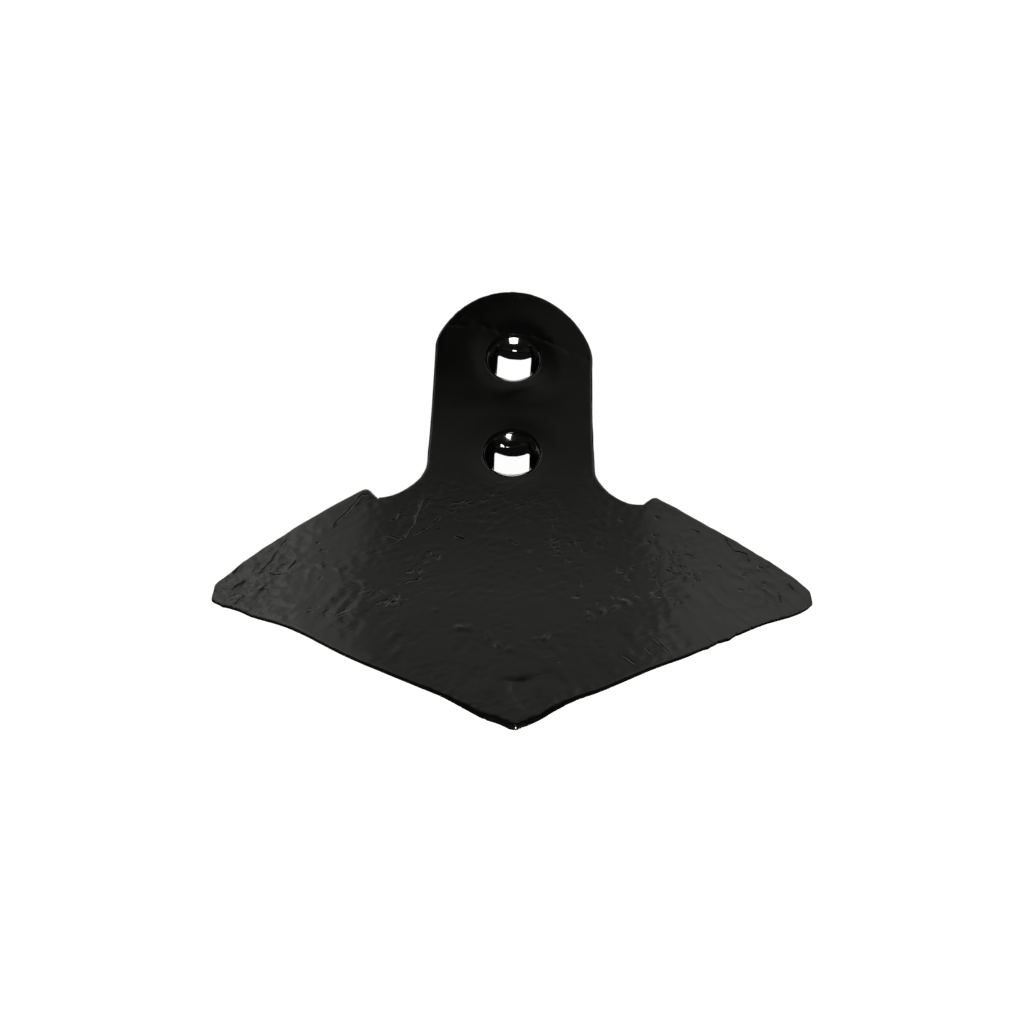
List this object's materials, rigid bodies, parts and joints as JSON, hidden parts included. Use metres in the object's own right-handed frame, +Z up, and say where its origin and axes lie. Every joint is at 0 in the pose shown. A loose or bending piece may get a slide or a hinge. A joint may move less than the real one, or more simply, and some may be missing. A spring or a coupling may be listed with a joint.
{
  "type": "duckfoot cultivator point",
  "caption": "Forged duckfoot point for a cultivator: a curved, round-topped tang with square countersunk bolt holes above a broad swept blade, in black enamel.",
  "frame": {"origin": "midway between the two bolt holes, on the back face of the tang, where the shank seats", "axes": "+Z up as the point lies on its back on a floor, +Y from the nose towards the tang, +X across to the right wing seen from the front"},
  "size_m": [0.2111, 0.2018, 0.0329],
  "materials": {
    "black_enamel": "satin"
  },
  "bodies": {
    "root": {"duckfoot_point": "black_enamel"}
  },
  "joints": []
}
